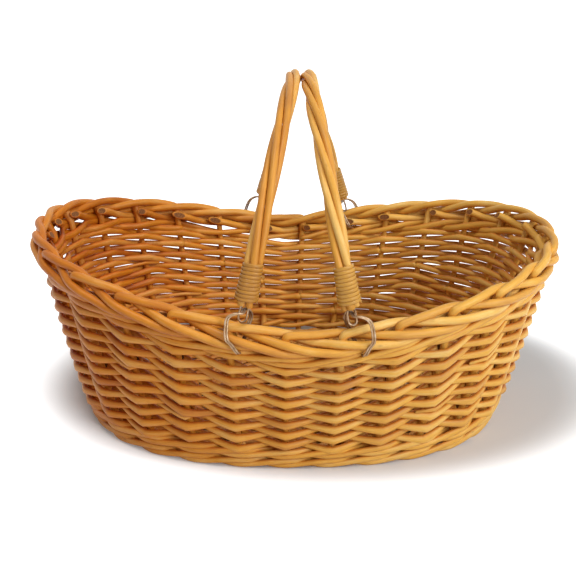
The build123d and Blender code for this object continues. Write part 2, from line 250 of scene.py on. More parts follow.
class Rods:
    """Collects tubes and makes one mesh of them."""

    CHAMFER = 0.35  # length of the small round at each end
    CHAMFER_SHARE = 0.8  # width of the end's face, against the rod's

    def __init__(self):
        self.verts, self.faces, self.uvs, self.caps = [], [], [], []
        self.tints, self.tones, self.painted_shades = [], [], []
        self.count = 0

    def lay(self, path, radius, sides=10, facing=None, flat=1.0, power=2.0,
            painted_shade=0.0, under=0.0, cut=0.0, slope=None):
        """Adds a rod along a path.

        facing: where the first axis of its section looks. flat: the second axis against the first.
        power: 2 for a round section, more for a squarer one. painted_shade: how much painted shade
        darkens it where it lies against the rods above and below. under: how much painted shade
        darkens its underside. cut: slant of both ends. slope: the way that a long cut at the far
        end falls, longer for a steeper one.
        """
        path = np.asarray(path, float)
        n = len(path)
        radius = np.broadcast_to(np.asarray(radius, float), (n,))
        flat = np.broadcast_to(np.asarray(flat, float), (n,))
        step = np.gradient(path, axis=0)
        step /= np.linalg.norm(step, axis=1, keepdims=True)
        first = across_directions(step, facing)
        second = np.cross(step, first)
        angle = WHOLE_TURN * np.arange(sides) / sides
        ca, sa = np.cos(angle), np.sin(angle)
        ca = np.sign(ca) * np.abs(ca) ** (2 / power)
        sa = np.sign(sa) * np.abs(sa) ** (2 / power)
        rings = (
            path[:, None, :]
            + radius[:, None, None] * ca[None, :, None] * first[:, None, :]
            + radius[:, None, None] * flat[:, None, None] * sa[None, :, None] * second[:, None, :]
        )
        if cut:
            slide = cut * radius[0] * ca[:, None]
            rings[0] += step[0] * slide
            if slope is None:
                rings[-1] -= step[-1] * slide
        if slope is not None:
            # The face of the long cut looks the way that the slope falls.
            rise = (rings[-1] - path[-1]) @ slope
            rings[-1] += step[-1] * (rise - rise.min())[:, None]
        start = path[0] + (rings[0] - path[0]) * self.CHAMFER_SHARE - step[0] * self.CHAMFER
        end = path[-1] + (rings[-1] - path[-1]) * self.CHAMFER_SHARE + step[-1] * self.CHAMFER
        rings = np.concatenate([start[None], rings, end[None]])
        self.verts.append(rings.reshape(-1, 3))

        walked = walk(path)
        walked = np.concatenate([[-0.4], walked, [walked[-1] + 0.4]]) * MM
        self.add_faces(walked + rng.random() * 5, ca, sa, radius[0])
        m = n + 2
        self.tints.append(np.full(m * sides, rng.random()))
        self.tones.append(np.full(m * sides, rng.random()))
        # Painted shade: darker on the sides that lie against the rods above and below, and on the
        # underside.
        facing_down = -(ca[None, :] * first[:, 2:3] + sa[None, :] * second[:, 2:3])
        dark = painted_shade * np.clip((np.abs(sa)[None, :] - 0.5) / 0.5, 0, 1) ** 1.5
        dark = dark + under * np.clip((facing_down - 0.1) / 0.9, 0, 1)
        dark = np.broadcast_to(dark, (n, sides))
        self.painted_shades.append(np.concatenate([dark[:1], dark, dark[-1:]]).ravel())
        self.count += m * sides

    def add_faces(self, u, ca, sa, end_radius):
        """Quads between the rings of a tube, whose first texture value is u, and its two ends."""
        m, sides = len(u), len(ca)
        i = np.arange(m - 1)[:, None]
        j = np.arange(sides)[None, :]
        corners, uv = [], []
        for along, across in ((0, 0), (0, 1), (1, 1), (1, 0)):
            corners.append((i + along) * sides + (j + across) % sides)
            uv.append(np.stack(np.broadcast_arrays(u[i + along], (j + across) / sides), -1))
        self.faces.extend((np.stack(corners, -1).reshape(-1, 4) + self.count).tolist())
        self.uvs.append(np.stack(uv, 2).reshape(-1, 2))
        for ring, order in ((0, -1), (m - 1, 1)):
            self.caps.append(len(self.faces))
            self.faces.append((np.arange(sides)[::order] + ring * sides + self.count).tolist())
            across = np.full(sides, u[ring]) + ca[::order] * end_radius * MM
            self.uvs.append(np.stack([across, sa[::order] * 0.5 + 0.5], -1))

    def mesh(self, name):
        data = bpy.data.meshes.new(name)
        data.from_pydata((np.vstack(self.verts) * MM).tolist(), [], self.faces)
        uv = data.uv_layers.new(name="UVMap")
        uv.data.foreach_set("uv", np.vstack(self.uvs).astype(np.float32).ravel())
        for label, parts in (("tint", self.tints), ("tone", self.tones), ("painted_shade", self.painted_shades)):
            values = np.concatenate(parts).astype(np.float32)
            data.attributes.new(label, "FLOAT", "POINT").data.foreach_set("value", values)
        data.polygons.foreach_set("use_smooth", [True] * len(data.polygons))
        for i in self.caps:
            data.polygons[i].use_smooth = False
            data.polygons[i].material_index = 1
        data.update()
        obj = bpy.data.objects.new(name, data)
        bpy.context.scene.collection.objects.link(obj)
        return obj


def place_piece(rods, name, body, node, slot, material):
    obj = rods.mesh(name)
    obj.data.materials.append(material)
    obj.data.materials.append(cut_end if slot == "willow" else material)
    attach(obj, body)
    if node:
        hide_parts(node)


# ---- materials ----


class Nodes:
    """The node tree of a material or of the world, while it is put together."""

    def __init__(self, owner, output="ShaderNodeOutputMaterial"):
        owner.use_nodes = True
        self.tree = owner.node_tree
        self.tree.nodes.clear()
        self.out = self.add(output)

    def add(self, kind, **values):
        node = self.tree.nodes.new(kind)
        for key, value in values.items():
            setattr(node, key, value)
        return node

    def link(self, a, b):
        self.tree.links.new(a, b)

    def attribute(self, name):
        return self.add("ShaderNodeAttribute", attribute_name=name).outputs["Fac"]

    def object_point(self):
        return self.add("ShaderNodeTexCoord").outputs["Object"]

    def math(self, operation, a, b, clamp=False):
        node = self.add("ShaderNodeMath", operation=operation, use_clamp=clamp)
        for i, v in enumerate((a, b)):
            if isinstance(v, (int, float)):
                node.inputs[i].default_value = v
            else:
                self.link(v, node.inputs[i])
        return node.outputs[0]

    def times(self, a, b, clamp=False):
        return self.math("MULTIPLY", a, b, clamp)

    def ramp(self, value, stops):
        node = self.add("ShaderNodeValToRGB")
        ramp = node.color_ramp
        while len(ramp.elements) < len(stops):
            ramp.elements.new(0.5)
        for element, (at, colour) in zip(ramp.elements, stops):
            element.position = at
            element.color = (*colour, 1)
        self.link(value, node.inputs[0])
        return node.outputs[0]

    def mix(self, factor, a, b, blend="MIX"):
        node = self.add("ShaderNodeMix", data_type="RGBA", blend_type=blend)
        for socket, v in ((0, factor), (6, a), (7, b)):
            if isinstance(v, (int, float)):
                node.inputs[socket].default_value = v
            elif isinstance(v, tuple):
                node.inputs[socket].default_value = (*v, 1)
            else:
                self.link(v, node.inputs[socket])
        return node.outputs[2]

    def toned_and_shaded(self, factor, colour, tone_and_shade):
        """A colour multiplied by another, by so much. It gives rods their own tones and paints
        shade on them.
        """
        return self.mix(factor, colour, self.mix(1.0, colour, tone_and_shade, "MULTIPLY"))

    def scaled(self, vector, scale):
        node = self.add("ShaderNodeVectorMath", operation="MULTIPLY")
        self.link(vector, node.inputs[0])
        node.inputs[1].default_value = scale
        return node.outputs[0]

    def noise(self, vector, scale, detail=3.0, rough=0.55):
        node = self.add("ShaderNodeTexNoise")
        self.link(vector, node.inputs["Vector"])
        node.inputs["Scale"].default_value = scale
        node.inputs["Detail"].default_value = detail
        node.inputs["Roughness"].default_value = rough
        return node.outputs["Fac"]

    def smooth_share(self, value, low, high):
        """0 below low and 1 above high."""
        node = self.add("ShaderNodeMapRange", interpolation_type="SMOOTHSTEP")
        self.link(value, node.inputs["Value"])
        node.inputs["From Min"].default_value = low
        node.inputs["From Max"].default_value = high
        return node.outputs[0]

    def surface(self, colour, height, strength, distance):
        """The shader of a surface of that colour, with fine relief."""
        shader = self.add("ShaderNodeBsdfPrincipled")
        self.link(colour, shader.inputs["Base Color"])
        bump = self.add("ShaderNodeBump")
        bump.inputs["Strength"].default_value = strength
        bump.inputs["Distance"].default_value = distance
        self.link(height, bump.inputs["Height"])
        self.link(bump.outputs[0], shader.inputs["Normal"])
        self.link(shader.outputs[0], self.out.inputs[0])
        return shader

    def seen_or_lit(self, lit, seen):
        """One shader for what the camera, gloss and glass see, and one for the light it gives."""
        rays = self.add("ShaderNodeLightPath")
        direct = rays.outputs["Is Camera Ray"]
        for kind in ("Is Glossy Ray", "Is Transmission Ray"):
            direct = self.math("MAXIMUM", direct, rays.outputs[kind])
        pick = self.add("ShaderNodeMixShader")
        self.link(direct, pick.inputs[0])
        self.link(lit.outputs[0], pick.inputs[1])
        self.link(seen.outputs[0], pick.inputs[2])
        self.link(pick.outputs[0], self.out.inputs[0])


def srgb(r, g, b):
    def one(v):
        v /= 255
        return v / 12.92 if v <= 0.04045 else ((v + 0.055) / 1.055) ** 2.4

    return (one(r), one(g), one(b))


def willow(name, dark, middle, light, roughness=0.5, coat=0.08, bark=0.5):
    """Peeled and varnished willow, with a tint and a tone of its own for each rod."""
    material = bpy.data.materials.new(name)
    n = Nodes(material)
    uv = n.add("ShaderNodeUVMap", uv_map="UVMap").outputs[0]
    where = n.object_point()
    patches = n.noise(n.scaled(uv, (28, 1.2, 1)), 1.0, 3)
    streaks = n.noise(n.scaled(uv, (60, 14, 1)), 1.0, 4, 0.6)
    fine = n.noise(n.scaled(uv, (220, 34, 1)), 1.0, 2, 0.6)
    blots = n.noise(where, 46.0, 2)

    # The rod's own tint, patches and streaks along it, and blots that pass over its neighbours.
    level = n.math("ADD", n.times(n.attribute("tint"), 0.32), n.times(patches, 0.5))
    level = n.math("ADD", level, n.times(n.math("SUBTRACT", streaks, 0.5), 0.42))
    level = n.math("ADD", level, n.times(n.math("SUBTRACT", blots, 0.42), 0.26), clamp=True)
    colour = n.ramp(level, [(0.1, dark), (0.46, middle), (0.86, light)])
    colour = n.toned_and_shaded(n.times(n.attribute("tone"), 0.22), colour, (0.92, 0.76, 0.5))
    grain = n.times(n.math("SUBTRACT", 0.47, fine, clamp=True), 1.6)
    colour = n.mix(grain, colour, dark)

    # Painted shade makes the basket's left end darker and redder, and painted light makes its right
    # end paler and yellower.
    across = n.add("ShaderNodeSeparateXYZ")
    n.link(where, across.inputs[0])
    right = n.smooth_share(across.outputs["X"], -0.24, 0.14)
    left = n.math("SUBTRACT", 1.0, right)
    colour = n.toned_and_shaded(n.times(left, 0.72), colour, (0.86, 0.48, 0.16))
    colour = n.mix(n.times(right, 0.27), colour, (0.84, 0.60, 0.18))

    # Small knots, and painted shade where rods lie against each other and on their undersides.
    spots = n.add("ShaderNodeTexVoronoi", feature="F1")
    n.link(n.scaled(uv, (42, 2.0, 1)), spots.inputs["Vector"])
    spots.inputs["Scale"].default_value = 1.0
    knot = n.math("SUBTRACT", 0.13, spots.outputs["Distance"], clamp=True)
    knot = n.times(knot, 6.0, clamp=True)
    colour = n.mix(n.times(knot, bark), colour, tuple(c * 0.3 for c in dark))
    colour = n.toned_and_shaded(n.attribute("painted_shade"), colour, (0.72, 0.34, 0.08))

    height = n.math("ADD", n.times(streaks, 0.8), n.times(fine, 0.5))
    height = n.math("ADD", height, n.times(knot, 0.6))
    shader = n.surface(colour, height, 0.5, 0.0004)
    n.link(n.math("ADD", n.times(fine, 0.2), roughness - 0.1), shader.inputs["Roughness"])
    shader.inputs["Coat Weight"].default_value = coat
    shader.inputs["Coat Roughness"].default_value = 0.3
    shader.inputs["Specular IOR Level"].default_value = 0.3
    return material


def wire_metal(name):
    """Drawn silvery wire whose brown and tan patches are a painted reflection of the willow round
    it.
    """
    material = bpy.data.materials.new(name)
    n = Nodes(material)
    where = n.object_point()
    blots = n.noise(where, 160.0, 3)
    fine = n.noise(where, 1400.0, 2)
    # Painted reflection: brown and tan patches stand in for the orange willow that the wire
    # reflects.
    brown_reflection, tan_reflection, bright = srgb(130, 98, 68), srgb(170, 140, 108), srgb(204, 186, 162)
    colour = n.ramp(blots, [(0.3, brown_reflection), (0.52, tan_reflection), (0.75, bright)])
    shader = n.surface(colour, fine, 0.25, 0.0001)
    shader.inputs["Metallic"].default_value = 0.7
    n.link(n.math("ADD", n.times(fine, 0.2), 0.32), shader.inputs["Roughness"])
    return material


def end_grain(name):
    """The slanted cut of a rod: dark, with a paler pith."""
    material = bpy.data.materials.new(name)
    n = Nodes(material)
    mottle = n.noise(n.object_point(), 900.0, 3)
    dark, middle, pith = (0.09, 0.026, 0.004), (0.22, 0.075, 0.012), (0.42, 0.19, 0.045)
    colour = n.ramp(mottle, [(0.3, dark), (0.55, middle), (0.8, pith)])
    shader = n.surface(colour, mottle, 0.5, 0.0003)
    shader.inputs["Roughness"].default_value = 0.8
    return material


honey = willow(
    "willow_varnished",
    dark=(0.44, 0.12, 0.003),
    middle=(0.73, 0.335, 0.016),
    light=(0.88, 0.66, 0.27),
)
honey_base = willow(
    "willow_base",
    dark=(0.30, 0.11, 0.012),
    middle=(0.52, 0.22, 0.035),
    light=(0.68, 0.36, 0.09),
    roughness=0.55,
    coat=0.0,
)
cane = willow(
    "cane_binding",
    dark=(0.26, 0.08, 0.004),
    middle=(0.56, 0.26, 0.012),
    light=(0.80, 0.50, 0.11),
    roughness=0.22,
    coat=0.0,
    bark=0.0,
)
wire = wire_metal("drawn_wire")
cut_end = end_grain("cut_end")


# ---- rods of the wall ----


def weave_shape(place, row, sharp):
    """From -1 behind an upright to 1 in front of the next.

    A sharp row bends at the uprights and runs straight between them.
    """
    s = -np.cos(math.pi * (place + row))
    return (1 - sharp) * s + sharp * 2 * np.arcsin(np.clip(s, -1, 1)) / math.pi


# Packing: extra rods that run to and fro round the two high ends. Each entry is the number of
# rows below the rod and how many places it reaches to each side of the end.
PACKINGS = [(5, 4.5), (10, 3.5)]
END_PLACES = (-0.5, UPRIGHTS / 2 - 0.5)


def packed(place, reach):
    """How much room a packing takes at a place: 0 on the sides and 1 at the ends."""
    half = UPRIGHTS / 2
    nearest = np.min([np.abs((place - e + half) % UPRIGHTS - half) for e in END_PLACES], axis=0)
    return ease(np.clip((reach + 0.4 - nearest) / 1.4, 0, 1))


def row_level(place, row):
    """Height of a row of the wall, which makes room for the packings below it."""
    level = np.full(np.shape(place), row + 0.5)
    total = np.full(np.shape(place), float(WEAVER_ROWS))
    for after, reach in PACKINGS:
        room = 2 * packed(place, reach)
        total = total + room
        level = level + room * (row >= after)
    return RANDING_FOOT + RANDING_HEIGHT * level / total


def crowding(place):
    """How tall a row is at a place, against its height on the sides."""
    low, high, between_on_sides = 30.0, 90.0, 62.0
    total = float(WEAVER_ROWS) + sum(2 * packed(place, reach) for _, reach in PACKINGS)
    turn = turn_at(place)
    shape = np.shape(place)
    climb = flare(turn, np.full(shape, high)) - flare(turn, np.full(shape, low))
    return np.linalg.norm(climb, axis=-1) / between_on_sides * WEAVER_ROWS / total


def lay_weaver(rods, place, level, shape, rise_shape, thin=1.0):
    """One rod of the wall's weaving, dipping where it lies in front of an upright."""
    n = len(place)
    at, out, _ = wall_frame(place, level)
    grow = crowding(place)
    radius = WEAVER_RADIUS + wander(n, 0.06)
    radius = radius + np.linspace(rng.uniform(-0.14, 0.14), rng.uniform(-0.14, 0.14), n)
    reach = UPRIGHT_RADIUS + WEAVER_RADIUS + TOUCH
    path = at + out * (reach * shape + wander(n, 0.2))[:, None]
    path[:, 2] += -WEAVER_DIP * rise_shape * grow + wander(n, 0.25)
    # Each stroke is a leaf: tall at an upright and slim between two.
    tall = 0.98 + 0.3 * np.abs(rise_shape) ** 1.4
    flat = tall * np.clip(grow, 1.0, 1.2) * 1.04
    rods.lay(path, radius * thin, 12, facing=upright_facing(path), flat=flat, painted_shade=0.9, cut=0.8)


def weaver_piece(row):
    """A row of two rods, which meet end to end behind uprights."""
    rods = Rods()
    start = (5 * row) % UPRIGHTS
    if (start + row) % 2:
        start += 1
    half = UPRIGHTS // 2
    for first in (start, start + half):
        place = np.linspace(first, first + half, half * 12 + 1)
        place[0] += WEAVER_GAP / UPRIGHT_PITCH
        place[-1] -= WEAVER_GAP / UPRIGHT_PITCH
        shape, rise = weave_shape(place, row, 0.65), weave_shape(place, row, 0.95)
        lay_weaver(rods, place, row_level(place, row), shape, rise)
    return rods


def packing_piece(after, reach, end):
    """A rod that runs round one end, turns round an upright and comes back above itself."""
    rods = Rods()
    first = round(END_PLACES[end] - reach)
    last = round(END_PLACES[end] + reach)
    there = np.linspace(first, last, (last - first) * 12 + 1)
    there[0] -= 0.3
    back = there[::-1]
    turn = np.linspace(0, math.pi, 9)[1:-1]
    place = np.concatenate([there, last + 0.15 * np.sin(turn), back])

    def to_and_fro(sharp, depth):
        ahead = weave_shape(there, after, sharp)
        side = weave_shape(there, after, 0.5)[-1]
        behind = weave_shape(back, after + 1, sharp)
        return np.concatenate([ahead, side * np.cos(turn) * depth, behind])

    low, high = row_level(place, after - 1), row_level(place, after)
    turning = 1 / 3 + (1 - np.cos(turn)) / 6
    climb = np.concatenate([np.full(len(there), 1 / 3), turning, np.full(len(back), 2 / 3)])
    level = low + (high - low) * climb
    thin = np.clip(packed(place, reach), 0.55, 1.0)
    lay_weaver(rods, place, level, to_and_fro(0.5, 1.0), to_and_fro(0.85, 0.6), thin)
    return rods


def wale_piece(first, phases, low, thickness):
    """Rods of a three-rod wale.

    Each passes in front of two uprights, climbing over the next rod, and behind one.
    """
    rods = Rods()
    foot = max(low - 2, 0)
    for phase in phases:
        start = first + phase
        n = WALE_RUN * 12 + 1
        place = np.linspace(start, start + WALE_RUN, n)
        t = (place - start) % 3
        edge = np.where(t < 1, t, np.where(t > 2, 3 - t, 1.0))
        shape = -np.cos(math.pi * edge)
        up = ease(np.clip((t - 0.9) / 1.2, 0, 1))
        down = ease(np.clip(np.where(t > 2, t - 2.4, t + 0.6) / 1.2, 0, 1))
        climb = np.where((t < 0.6) | (t > 2.4), 1 - down, up)
        turn = turn_at(place)
        grow = np.linalg.norm(flare(turn, low + 6) - flare(turn, foot), axis=-1) / (low + 6 - foot)
        at, out, _ = wall_frame(place, low + thickness * climb)
        reach = UPRIGHT_RADIUS + thickness / 2 + TOUCH
        path = at + out * (reach * shape + wander(n, 0.15))[:, None]
        path[:, 2] += wander(n, 0.15)
        radius = thickness / 2 * (1.0 + 0.03 * wander(n, 1.0))
        side = upright_facing(path)
        tall = np.clip(grow, 1.0, 1.35) * 1.04
        # No rod goes below the floor.
        path[:, 2] += np.clip(0.1 - path[:, 2] + radius * tall, 0, None)
        rods.lay(path, radius, 12, facing=side, flat=tall, painted_shade=0.8, cut=0.8)
    return rods


# A border stroke: places past its own upright, and the offset and height in the border's section.
BORDER_PATH = [
    (0.0, 0.0, 0.0),
    (0.0, 0.0, 7.0),
    (0.0, 0.0, 13.2),
    (0.09, -0.2, 15.9),
    (0.5, -1.8, 17.0),
    (1.0, -5.6, 14.2),
    (1.5, -1.2, 10.4),
    (2.0, 6.3, 9.9),
    (2.5, 7.0, 5.8),
    (3.0, 6.7, 2.7),
    (3.5, 0.2, 2.2),
    (3.78, -5.2, 3.4),
    (3.92, -6.9, 4.0),
]


def uprights_piece():
    """Rods that climb the wall, turn over at the rim and pass through the border."""
    rods = Rods()
    bends = catmull(BORDER_PATH, 8)
    end_place, loose = 3.92, 16
    for k in range(UPRIGHTS):
        foot = on_wall(np.full(4, k), [6.0, 6.0, 5.6, 6.6], [-40.0, -22.0, -9.0, -1.6])
        heights = np.linspace(11.0, BORDER_HEIGHT, 26)[:-1]
        stem = on_wall(np.full(25, k), heights, wander(25, 0.15))
        reached = bends.copy()
        reached[-loose:, 0] += np.linspace(0, rng.uniform(-0.16, 0.1), loose)
        turn = on_border(k + reached[:, 0], reached[:, 1], reached[:, 2])
        path = np.vstack([catmull(foot, 4), stem, turn])
        n = len(path)
        swell = np.clip((np.arange(n) - 39) / 6, 0, 1)
        radius = UPRIGHT_RADIUS + BORDER_SWELL * swell + wander(n, 0.07)
        outward = on_border(k + end_place, 5.0, 4.0) - on_border(k + end_place, -5.0, 4.0)
        slope = rng.uniform(0.6, 2.0) * outward / np.linalg.norm(outward)
        rods.lay(path, radius, 12, under=0.7, cut=1.0, slope=slope)
    return rods


def build_wall():
    low, first = FOOT_LIFT + FOOT_WALE_THICKNESS / 2, UPRIGHTS // 4 - 2
    high = low + FOOT_WALE_CLIMB
    top = RANDING_FOOT + RANDING_HEIGHT + 1.5
    pieces = [
        ("foot_wale_1", wale_piece, (first, (0, 1), low, FOOT_WALE_THICKNESS)),
        ("foot_wale_2", wale_piece, (first, (2,), low, FOOT_WALE_THICKNESS)),
        ("foot_wale_3", wale_piece, (first + 3, (0, 1), high, FOOT_WALE_THICKNESS)),
        ("foot_wale_4", wale_piece, (first + 3, (2,), high, FOOT_WALE_THICKNESS)),
    ]
    pieces += [(f"weaver_row_{row + 1:02d}", weaver_piece, (row,)) for row in range(WEAVER_ROWS)]
    pieces += [
        (f"packing_{after}_{end}", packing_piece, (after, reach, end))
        for after, reach in PACKINGS
        for end in (0, 1)
    ]
    pieces += [
        ("head_wale_1", wale_piece, (UPRIGHTS // 4, (0, 1), top, HEAD_WALE_THICKNESS)),
        ("head_wale_2", wale_piece, (UPRIGHTS // 4, (2,), top, HEAD_WALE_THICKNESS)),
        ("upright_rods", uprights_piece, ()),
    ]
    for name, make, values in pieces:
        node = None if name.startswith("packing") else name
        place_piece(make(*values), "scene_" + name, "basket", node, "willow", honey)


# ---- base ----


def base_edge(across, half, other):
    """How far the base reaches along one direction at a distance across it."""
    return other * (1 - (abs(across) / half) ** BASE[2]) ** (1 / BASE[2])


def oval(turn, inset):
    c, s = np.cos(turn), np.sin(turn)
    reach = (np.abs(c) ** BASE[2] + np.abs(s) ** BASE[2]) ** (-1 / BASE[2])
    return np.stack([(BASE[0] - inset) * reach * c, (BASE[1] - inset) * reach * s], -1)


def base_round(rods, m):
    """One round of the base's weaving, over one stick and under the next."""
    inset = BASE_FIRST_INSET + BASE_PITCH * m
    ring = oval(np.linspace(0, WHOLE_TURN, 721), inset)
    walked = walk(ring)
    crossings = []
    for line, axis in ((CROSS_STICKS, 0), (LONG_STICKS, 1)):
        for at in line:
            side = ring[:, axis] - at
            for i in np.nonzero(side[:-1] * side[1:] < 0)[0]:
                crossings.append(walked[i])
    if inset < 38:
        # The outer rounds also weave round the feet of the uprights.
        for foot in on_wall(np.arange(UPRIGHTS), 6.0, 0.0):
            at = walked[np.argmin(np.linalg.norm(ring[:-1] - foot[:2], axis=1))]
            if min(abs(at - c) for c in crossings) > 14:
                crossings.append(at)
    crossings = np.sort(np.array(crossings))
    signs = np.where((np.arange(len(crossings)) + m) % 2, 1.0, -1.0)
    whole, overlap = walked[-1], 10
    knots = np.concatenate([[crossings[-1] - whole], crossings, [crossings[0] + whole]])
    levels = np.concatenate([[signs[-1]], signs, [signs[0]]])
    start = rng.random() * whole
    n = int(whole / 4) + 12
    along = np.linspace(start, start + whole + overlap, n)
    inside = along % whole
    x = np.interp(inside, walked, ring[:, 0])
    y = np.interp(inside, walked, ring[:, 1])
    i = np.clip(np.searchsorted(knots, inside) - 1, 0, len(knots) - 2)
    part = (inside - knots[i]) / (knots[i + 1] - knots[i])
    z = levels[i] + (levels[i + 1] - levels[i]) * (1 - np.cos(math.pi * part)) / 2
    fade = np.clip((along - start) / overlap, 0, 1)
    fade = fade * np.clip((start + whole + overlap - along) / overlap, 0, 1)
    path = np.stack([x, y, STICK_LEVEL + BASE_WAVE * z], -1)
    path[:, :2] *= 1 + 0.0016 * wander(n, 1.0)[:, None]
    side = upright_facing(path)
    rods.lay(path, 2.3 + 0.15 * fade, 10, facing=side, flat=0.72, painted_shade=0.5, cut=0.6)


def build_base():
    weave = Rods()
    for m in range(BASE_ROUNDS):
        base_round(weave, m)
    edge = oval(np.linspace(0, WHOLE_TURN, 361), -0.9)
    edge = np.column_stack([edge, STICK_LEVEL + 3.6 + wander(361, 0.1)])
    weave.lay(edge, 2.2, 10)
    place_piece(weave, "scene_base_weave", "basket", "base_mat", "base_willow", honey_base)

    cross = Rods()
    for x in CROSS_STICKS:
        n = 40
        half = base_edge(x, BASE[0], BASE[1]) - STICK_END_GAP
        path = np.stack([np.full(n, x), np.linspace(-half, half, n), np.full(n, STICK_LEVEL)], -1)
        path[:, 0] += wander(n, 0.4)
        ends = 1 - 0.25 * (np.abs(np.linspace(-1, 1, n))) ** 4
        level = np.tile([1.0, 0, 0], (n, 1))
        cross.lay(path, 3.3 * ends, 12, facing=level, flat=0.82, cut=0.6)
    place_piece(cross, "scene_cross_sticks", "basket", "cross_sticks", "base_willow", honey_base)

    long = Rods()
    for y in LONG_STICKS:
        n = 60
        half = base_edge(y, BASE[1], BASE[0]) - STICK_END_GAP
        path = np.stack([np.linspace(-half, half, n), np.full(n, y), np.full(n, STICK_LEVEL)], -1)
        path[:, 1] += wander(n, 0.3)
        long.lay(path, 2.4, 12, cut=0.6)
    place_piece(long, "scene_long_sticks", "basket", "long_sticks", "base_willow", honey_base)


# ---- handles ----

HINGE_DIR = np.array([math.sin(GRIP_SKEW), math.cos(GRIP_SKEW), 0.0])
SIDE_DIR = np.array([math.cos(GRIP_SKEW), -math.sin(GRIP_SKEW), 0.0])


def arch_point(side, angle):
    angle = np.asarray(angle, float)
    foot = side * HINGE_HALF_GAP
    x = foot + (APEX[side] - foot) * np.sin(angle) - BOW[side] * np.sin(2 * angle)
    y = -ARCH_HALF_SPAN * np.cos(angle)
    z = HINGE_HEIGHT + ARCH_HEIGHT * np.sin(angle)
    across = np.array([GRIP_OFFSET, 0, 0]) + x[..., None] * SIDE_DIR
    return across + y[..., None] * HINGE_DIR + z[..., None] * UP


ARCH_ANGLES = np.linspace(0, math.pi, 2001)
ARCH_WALKED = {side: walk(arch_point(side, ARCH_ANGLES)) for side in (-1, 1)}


def arch_frame(side, length):
    """Points, directions along and two directions across an arch, by the length walked on it."""
    angle = np.interp(length, ARCH_WALKED[side], ARCH_ANGLES)
    at = arch_point(side, angle)
    tangent = arch_point(side, angle + 0.002) - arch_point(side, angle - 0.002)
    tangent /= np.linalg.norm(tangent, axis=-1, keepdims=True)
    first = SIDE_DIR - tangent * (tangent @ SIDE_DIR)[..., None]
    first /= np.linalg.norm(first, axis=-1, keepdims=True)
    return at, first, np.cross(tangent, first)


def handle_piece(side):
    """Four rods wound round each other along an arch."""
    rods = Rods()
    whole = ARCH_WALKED[side][-1]
    n = 130
    for j in range(HANDLE_RODS):
        ends = (3.4 + rng.uniform(-0.5, 0.9), 3.4 + rng.uniform(-0.5, 0.9))
        length = np.linspace(ends[0], whole - ends[1], n)
        at, first, second = arch_frame(side, length)
        share = (length - ROD_END_LIFT) / (whole - 2 * ROD_END_LIFT)
        twist = HANDLE_TWIST[side] * (share - 0.5)
        spin = WHOLE_TURN * (j / HANDLE_RODS + twist) + math.pi / 4
        ring = ROD_RING * (1 + 0.02 * wander(n, 1.0))
        path = at + first * (ring * np.cos(spin))[:, None] + second * (ring * np.sin(spin))[:, None]
        radius = HANDLE_RADIUS + 0.05 + wander(n, 0.07)
        rods.lay(path, radius, 12, under=0.4)
    return rods


def binding_piece(side, foot):
    """A flat strip of cane wound round the foot of a handle, a little looser at its lower end."""
    rods = Rods()
    whole = ARCH_WALKED[side][-1]
    steps = 36
    n = int(BINDING_STRIPS * steps) + 1
    i = np.arange(n)
    part = i / (n - 1)
    length = BINDING_FOOT + BINDING_WIDTH / 2 + (BINDING_LENGTH - BINDING_WIDTH) * part
    at, first, second = arch_frame(side, length if foot == 0 else whole - length)
    spin = WHOLE_TURN * i / steps
    around = first * np.cos(spin)[:, None] + second * np.sin(spin)[:, None]
    slip = 0.35 * np.repeat(rng.random(int(BINDING_STRIPS) + 2), steps)[:n]
    radius = ROD_RING + HANDLE_RADIUS + 0.95 + 0.3 * np.cos(2 * spin) - 1.5 * part + slip
    path = at + around * radius[:, None]
    flat = BINDING_WIDTH / 2 / BINDING_HALF_DEPTH
    rods.lay(path, BINDING_HALF_DEPTH, 12, facing=around, flat=flat, under=0.35, power=2.6)
    return rods


# Places of the wire rings by side and foot, in uprights beside the nearest one.
RING_SHARES = {(-1, 0): 0.27, (1, 0): 0.27, (-1, 1): 0.18, (1, 1): -0.15}


